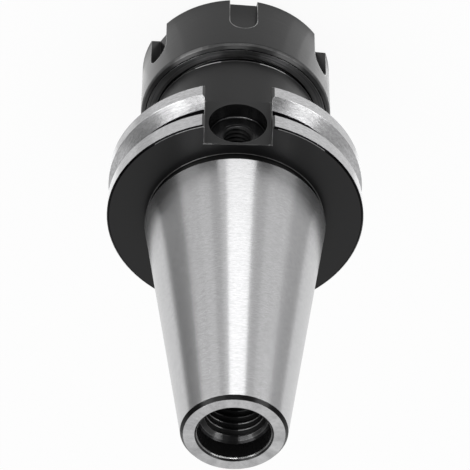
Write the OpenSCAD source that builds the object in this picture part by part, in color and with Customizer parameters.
// Collet chuck holder: a steep-taper tool holder of size 40 with a size 32 collet chuck.
// The origin is the centre of the gauge plane. +Z points along the shank to its small end,
// so the nut is at the bottom. The drive slot with the tapped hole faces -Y.

/* [Taper shank] */
// Diameter of the taper in the gauge plane
gauge_d = 44.45; // [44.2:0.01:44.7]
// Length from the gauge plane to the small end
shank_l = 68.6; // [60:0.1:80]
// Length by which the ground taper runs past the gauge plane
taper_over = 0.8; // [0.2:0.1:1.2]
// Width of the edge chamfer at the small end
shank_chamfer = 0.95; // [0.3:0.05:1.5]
// Diameter of the relief between taper and flange
relief_d = 42.8; // [41:0.1:43.6]

/* [Flange] */
// Outer diameter of the flange
flange_d = 63.5; // [62:0.1:65]
// Distance from the gauge plane to the flange
flange_gap = 3.2; // [2.6:0.1:4]
// Thickness of the flange
flange_t = 15.85; // [15:0.05:17]
// Edge chamfer on the spindle side of the flange
flange_chamfer = 0.35; // [0.1:0.05:0.8]
// Edge chamfer on the nut side of the flange
flange_back_chamfer = 1.1; // [0.3:0.1:1.4]
// Distance from the gauge plane to the middle of the gripper groove
groove_mid = 11.08; // [10.6:0.02:11.5]
// Width of the gripper groove at the outer diameter
groove_w = 7.12; // [6.4:0.02:7.6]
// Diameter at the bottom of the gripper groove
groove_root_d = 56.25; // [55:0.05:58]

/* [Drive slots] */
// Width of both drive slots
slot_w = 16.3; // [15.5:0.1:17]
// Distance from the axis to the floor of the slot with the tapped hole
slot_floor = 24.7; // [23.5:0.1:25.5]
// Distance from the axis to the floor of the other slot
far_slot_floor = 22.6; // [22:0.1:25]
// Radius in the corners of the slot floors
slot_corner_r = 0.3; // [0.2:0.1:2]
// Width of the chamfer where a slot breaks the outer diameter
slot_chamfer = 0.6; // [0.2:0.05:1]

/* [Tapped hole in the slot] */
// Diameter of the counterbore
screw_recess_d = 14.3; // [12:0.02:15]
// Depth of the counterbore
screw_recess_depth = 4.2; // [3:0.1:5]
// Outer diameter of the thread below it
screw_thread_d = 8; // [6:0.5:10]
// Length of that thread
screw_thread_l = 5; // [3:0.1:5.2]

/* [Retention bore] */
// Diameter of the pilot bore
pilot_d = 17; // [16.6:0.1:18]
// Depth of the pilot bore from the small end
pilot_depth = 4.9; // [3:0.1:9]
// Width of the chamfer at its mouth
pilot_chamfer = 0.58; // [0.2:0.02:1]
// Outer diameter of the retention thread
retention_d = 16; // [15:0.1:16.4]
// Depth of the thread's end from the small end
retention_depth = 30; // [24:0.5:32]
// Diameter of the coolant hole that runs on to the chuck
coolant_d = 8; // [4:0.5:10]

/* [Chuck body] */
// Diameter of the body between flange and nut
body_d = 42; // [41.6:0.1:46]
// Distance from the gauge plane to the shoulder at the body's end
body_end = 39.9; // [36:0.1:40.5]
// Edge radius at that shoulder
body_edge_r = 0.5; // [0.1:0.1:0.8]
// Distance from the gauge plane to the end of the threaded neck
neck_end = 51; // [49.5:0.1:51.4]
// Outer diameter of the nut thread
nut_thread_d = 40; // [39.6:0.1:40.4]
// Pitch of the nut thread
nut_thread_pitch = 1.5; // [1:0.25:1.5]
// Depth of the clearance bore behind the collet, from the gauge plane
clearance_bore_end = 2; // [0:0.5:8]

/* [Clamping nut] */
// Outer diameter of the nut
nut_d = 49; // [48.4:0.1:52]
// Distance from the gauge plane to the nut's rear face when it is tight
nut_rear = 41; // [40.8:0.1:42]
// Distance from the gauge plane to the nut's front face when it is tight
nut_front = 61.6; // [60.9:0.1:63]
// Number of wrench slots
wrench_slots = 6; // [4:1:8]
// Width of a wrench slot
wrench_slot_w = 7; // [5:0.1:8]
// Distance from the axis to the floor of a wrench slot
wrench_slot_floor = 21.5; // [21.2:0.1:23]
// Length of a wrench slot from the nut's front face
wrench_slot_l = 13.2; // [9:0.1:15]
// Turn of the nut at rest, from a wrench slot in line with the drive slot
nut_turn = 3.35; // [0:0.05:60]
// Eccentricity of the extraction ring inside the nut
ring_offset = 0.9; // [0.6:0.05:0.95]

/* [Collet] */
// Largest diameter of the collet
collet_d = 33; // [32.8:0.1:33.2]
// Length of the collet
collet_l = 40; // [36:0.5:41]
// Diameter of the collet's bore
collet_bore_d = 16; // [3:1:20]
// Number of slits from each end
collet_slits = 8; // [4:1:10]
// Width of a slit
slit_w = 0.9; // [0.4:0.1:1.2]

/* [Hidden] */
$fn = 120;

// The steep taper loses 7 mm of diameter in 24 mm of length
taper_slope = 7 / 48;
// Flank angle of the gripper groove, measured from the cross-section
groove_flank = 30;
// Half angle of the collet seat, and of the collet's front cone
seat_angle = 8;
front_cone_angle = 30;
// Point angle of a drill, half
drill_half = 59;
// Depth of a thread's groove for each millimetre of pitch
thread_depth_ratio = 0.6134;
// Radial gaps of the fits: nut on neck, collet in seat, collet in nut
neck_fit = 0.09;
seat_fit = 0.05;
cone_fit = 0.06;
// Overrun of a cut past the surface it opens, and of the ring bore past the ring's two faces
cut = 1;
ring_cut = 0.125;

// Shank: radial size of the small end's chamfer, and depth of the undercut beside the flange
shank_chamfer_r = 0.7;
relief_undercut = 0.4;
face_r = gauge_d / 2 - (shank_l - shank_chamfer) * taper_slope - shank_chamfer_r;

// Flange: fillet to the body, and half widths of the gripper groove at its mouth and root
back_fillet_r = 1;
flange_r = flange_d / 2;
flange_end = flange_gap + flange_t;
groove_half = groove_w / 2;
root_half = groove_half - (flange_r - groove_root_d / 2) * tan(groove_flank);

// Retention bore: radial step to the tap drill, and the drill's run past the thread's end
tap_drill_step = 1.1;
tap_drill_run = 4;
tap_drill_r = retention_d / 2 - tap_drill_step;
tap_drill_end = shank_l - retention_depth - tap_drill_run;
// Slot hole: radius of its tap drill for each millimetre of its thread's diameter, radius in the
// corner of its counterbore, and countersink at its thread's mouth
slot_drill_ratio = 0.425;
recess_corner_r = 0.5;
thread_mouth = 0.4;

// Neck: root radius of its thread, relief behind it, end chamfer, and the chamfer at the seat's mouth
neck_r = nut_thread_d / 2 - thread_depth_ratio * nut_thread_pitch;
neck_relief_depth = 0.4;
neck_relief_l = 2;
neck_chamfer = 0.7;
seat_chamfer = 0.3;

// Collet: its front face lies a little inside the nut, and then come its rim, front cone, lip and groove
collet_setback = 1.1;
rim_chamfer = 0.3;
rim_l = 0.36;
lip_step = 0.3;
lip_l = 0.3;
cone_depth = 2.75;
groove_l = 3;
groove_depth = 2;
edge_chamfer = 0.5;
slit_left = 5.6;
collet_front = nut_front - collet_setback;
cone_small_r = collet_d / 2 - cone_depth;
lip_r = collet_d / 2 - lip_step;
cone_front = collet_front - rim_l;
cone_rear = cone_front - (lip_r - cone_small_r) / tan(front_cone_angle);
groove_front = cone_rear - lip_l;
groove_rear = groove_front - groove_l;
collet_groove_r = collet_d / 2 - groove_depth;
collet_rear = collet_front - collet_l;

// Nut: its eccentric ring stands in the collet's groove, clear of both walls and of the groove's floor
ring_front_gap = 0.3;
ring_rear_gap = 0.4;
ring_floor_gap = 0.15;
ring_stock = 0.2;
// Nut's inside: countersink at the thread, relief at the thread's end, and step from the collet's rim
nut_countersink = 0.9;
nut_relief_l = 2.4;
nut_relief_step = 0.2;
nut_mouth_step = 0.25;
// Nut's outside: radial width of the rear chamfer, the rounding outside it (its radius, and how far it
// reaches from the rear face), radial and axial size of the front bevel, and the line in the rear face
nut_rear_chamfer = 1.05;
nut_round_r = 1.3;
nut_round_reach = 1.7;
nut_front_bevel = [2.8, 1.88];
nut_line = [0.3, 0.35];
ring_front = groove_front - ring_front_gap;
ring_rear = groove_rear + ring_rear_gap;
ring_bore_r = collet_groove_r + ring_offset + ring_floor_gap;
ring_least_r = ring_bore_r - ring_offset - ring_stock;
nut_bore_r = neck_r + neck_fit;
nut_relief_r = nut_thread_d / 2 + nut_relief_step;
nut_mouth_r = cone_small_r + nut_mouth_step;
nut_line_r = nut_d / 2 - nut_rear_chamfer;

// Radius of the collet's rear taper, and of the seat around it, at a distance from the gauge plane
function collet_r(d) = collet_d / 2 - (groove_rear - d) * tan(seat_angle);
function seat_r(d) = collet_r(d) + seat_fit;
// Distance from the gauge plane at which the seat has shrunk to a radius
function seat_at(r) = groove_rear - (collet_d / 2 + seat_fit - r) / tan(seat_angle);
// Points along an arc, from one angle to another
function arc(x, y, r, from_a, to_a, steps = 8) = [
    for (i = [0:steps])
        let (a = from_a + (to_a - from_a) * i / steps)
            [x + r * cos(a), y + r * sin(a)]
];

clearance_bore_r = collet_r(collet_rear) - edge_chamfer;

// Half section of the holder's outside, from the small end down to the threaded neck
function holder_outside() = concat(
    [
        [face_r, shank_l],
        [face_r + shank_chamfer_r, shank_l - shank_chamfer],
        [gauge_d / 2 + taper_over * taper_slope, -taper_over],
        [relief_d / 2, -taper_over - relief_undercut],
        [relief_d / 2, -flange_gap - relief_undercut],
        [relief_d / 2 + relief_undercut, -flange_gap],
        [flange_r - flange_chamfer, -flange_gap],
        [flange_r, -flange_gap - flange_chamfer],
        [flange_r, groove_half - groove_mid],
        [groove_root_d / 2, root_half - groove_mid],
        [groove_root_d / 2, -root_half - groove_mid],
        [flange_r, -groove_half - groove_mid],
        [flange_r, flange_back_chamfer - flange_end],
        [flange_r - flange_back_chamfer, -flange_end]
    ],
    arc(body_d / 2 + back_fillet_r, -flange_end - back_fillet_r, back_fillet_r, 90, 180),
    arc(body_d / 2 - body_edge_r, body_edge_r - body_end, body_edge_r, 0, -90),
    [
        [neck_r - neck_relief_depth, -body_end],
        [neck_r - neck_relief_depth, neck_relief_depth - body_end - neck_relief_l],
        [neck_r, -body_end - neck_relief_l],
        [neck_r, neck_chamfer - neck_end],
        [neck_r - neck_chamfer, -neck_end]
    ]
);

// Half section of the holder's inside, from the collet seat up to the small end
function holder_inside() = [
    [seat_r(neck_end - seat_chamfer) + seat_chamfer, -neck_end],
    [seat_r(neck_end - seat_chamfer), seat_chamfer - neck_end],
    [clearance_bore_r, -seat_at(clearance_bore_r)],
    [clearance_bore_r, -clearance_bore_end],
    [coolant_d / 2, (clearance_bore_r - coolant_d / 2) / tan(drill_half) - clearance_bore_end],
    [coolant_d / 2, tap_drill_end],
    [tap_drill_r, tap_drill_end + (tap_drill_r - coolant_d / 2) / tan(drill_half)],
    [tap_drill_r, shank_l - retention_depth],
    [retention_d / 2, shank_l - retention_depth],
    [retention_d / 2, shank_l - pilot_depth - (pilot_d - retention_d) / 2],
    [pilot_d / 2, shank_l - pilot_depth],
    [pilot_d / 2, shank_l - pilot_chamfer],
    [pilot_d / 2 + pilot_chamfer, shank_l]
];

// A drive slot through the flange on the +Y side: rounded floor corners, chamfered lips
module drive_slot(floor_y) {
    half = slot_w / 2;
    lip_y = sqrt(pow(flange_r, 2) - pow(half + slot_chamfer, 2));
    reach = flange_r + cut;
    flare = reach - lip_y;
    translate([0, 0, -flange_end - cut])
        linear_extrude(flange_t + 2 * cut) {
            translate([slot_corner_r - half, floor_y])
                square([slot_w - 2 * slot_corner_r, reach - floor_y]);
            translate([-half, floor_y + slot_corner_r])
                square([slot_w, reach - floor_y - slot_corner_r]);
            for (side = [-1, 1])
                translate([side * (half - slot_corner_r), floor_y + slot_corner_r])
                    circle(r = slot_corner_r);
            polygon([
                [-half, lip_y - slot_chamfer],
                [half, lip_y - slot_chamfer],
                [half + slot_chamfer + flare, reach],
                [-half - slot_chamfer - flare, reach]
            ]);
        }
}

// The counterbored blind hole in the floor of the -Y slot, with its thread at full diameter
module slot_hole() {
    recess_floor = slot_floor - screw_recess_depth;
    thread_end = recess_floor - screw_thread_l;
    drill_r = screw_thread_d * slot_drill_ratio;
    thread_r = screw_thread_d / 2;
    corner_x = screw_recess_d / 2 - recess_corner_r;
    translate([0, 0, -groove_mid])
        rotate([90, 0, 0])
            rotate_extrude()
                polygon(concat(
                    [
                        [0, thread_end - drill_r / tan(drill_half)],
                        [drill_r, thread_end],
                        [thread_r, thread_end],
                        [thread_r, recess_floor - thread_mouth],
                        [thread_r + thread_mouth, recess_floor]
                    ],
                    arc(corner_x, recess_floor + recess_corner_r, recess_corner_r, -90, 0),
                    [
                        [screw_recess_d / 2, slot_floor + cut],
                        [0, slot_floor + cut]
                    ]
                ));
}

// Shank, flange and chuck body, turned from one piece
module holder() {
    color([0.66, 0.66, 0.67])
        difference() {
            rotate_extrude()
                polygon(concat(holder_outside(), holder_inside()));
            drive_slot(far_slot_floor);
            rotate([0, 0, 180])
                drive_slot(slot_floor);
            slot_hole();
        }
}

// Half section of the nut, solid where the eccentric ring bore is cut later
function nut_section() = concat(
    [
        [nut_thread_d / 2 + nut_countersink, -nut_rear],
        [nut_line_r - nut_line[0], -nut_rear],
        [nut_line_r - nut_line[0], -nut_rear - nut_line[1]],
        [nut_line_r, -nut_rear - nut_line[1]],
        [nut_line_r, -nut_rear]
    ],
    arc(nut_d / 2 - nut_round_r, -nut_rear - nut_round_reach, nut_round_r, 45, 0),
    [
        [nut_d / 2, nut_front_bevel[1] - nut_front],
        [nut_d / 2 - nut_front_bevel[0], -nut_front],
        [nut_mouth_r + edge_chamfer, -nut_front],
        [nut_mouth_r, edge_chamfer - nut_front],
        [nut_mouth_r, -cone_front + (nut_mouth_r - cone_fit - cone_small_r) / tan(front_cone_angle)],
        [collet_d / 2, -cone_rear + (collet_d / 2 - cone_fit - lip_r) / tan(front_cone_angle)],
        [collet_d / 2, -ring_front],
        [ring_least_r, -ring_front],
        [ring_least_r, -ring_rear],
        [nut_relief_r, -ring_rear],
        [nut_relief_r, nut_relief_l - ring_rear],
        [nut_bore_r, nut_relief_l - ring_rear],
        [nut_bore_r, nut_bore_r - nut_thread_d / 2 - nut_countersink - nut_rear]
    ]
);

// One U-shaped wrench slot, open at the nut's front face, on the -Y side
module wrench_slot() {
    half = wrench_slot_w / 2;
    slot_end = wrench_slot_l - nut_front;
    rotate([90, 0, 0])
        translate([0, 0, wrench_slot_floor])
            linear_extrude(nut_d / 2 - wrench_slot_floor + cut) {
                translate([-half, -nut_front - cut])
                    square([wrench_slot_w, slot_end - half + nut_front + cut]);
                translate([0, slot_end - half])
                    circle(r = half);
            }
}

// Clamping nut with its thread bore, eccentric extraction ring and front cone
module clamping_nut() {
    color([0.24, 0.24, 0.25])
        rotate([0, 0, -nut_turn])
            difference() {
                rotate_extrude()
                    polygon(nut_section());
                translate([0, ring_offset, -ring_front - ring_cut])
                    cylinder(r = ring_bore_r, h = ring_front - ring_rear + 2 * ring_cut);
                for (i = [0:wrench_slots - 1])
                    rotate([0, 0, i * 360 / wrench_slots])
                        wrench_slot();
            }
}

// Half section of the collet, from the front face round to the bore
function collet_section() = [
    [collet_bore_d / 2 + edge_chamfer, -collet_front],
    [cone_small_r - rim_chamfer, -collet_front],
    [cone_small_r, rim_chamfer - collet_front],
    [cone_small_r, -cone_front],
    [lip_r, -cone_rear],
    [lip_r, -groove_front],
    [collet_groove_r, -groove_front],
    [collet_groove_r, -groove_rear],
    [collet_d / 2, -groove_rear],
    [collet_r(collet_rear + edge_chamfer), -collet_rear - edge_chamfer],
    [collet_r(collet_rear) - edge_chamfer, -collet_rear],
    [collet_bore_d / 2 + edge_chamfer, -collet_rear],
    [collet_bore_d / 2, -collet_rear - edge_chamfer],
    [collet_bore_d / 2, edge_chamfer - collet_front]
];

// Slits between two distances from the gauge plane, one in each of the given number of directions
module slits(from_d, to_d, turn) {
    for (i = [0:collet_slits - 1])
        rotate([0, 0, turn + i * 360 / collet_slits])
            translate([-slit_w / 2, 0, -to_d])
                cube([slit_w, collet_d, to_d - from_d]);
}

// Spring collet: slits run almost through it from the front and from the rear in turn
module collet() {
    color([0.78, 0.78, 0.8])
        difference() {
            rotate_extrude()
                polygon(collet_section());
            slits(collet_rear + slit_left, collet_front + cut, 180 / collet_slits);
            slits(collet_rear - cut, collet_front - slit_left, 0);
        }
}

holder();
clamping_nut();
collet();
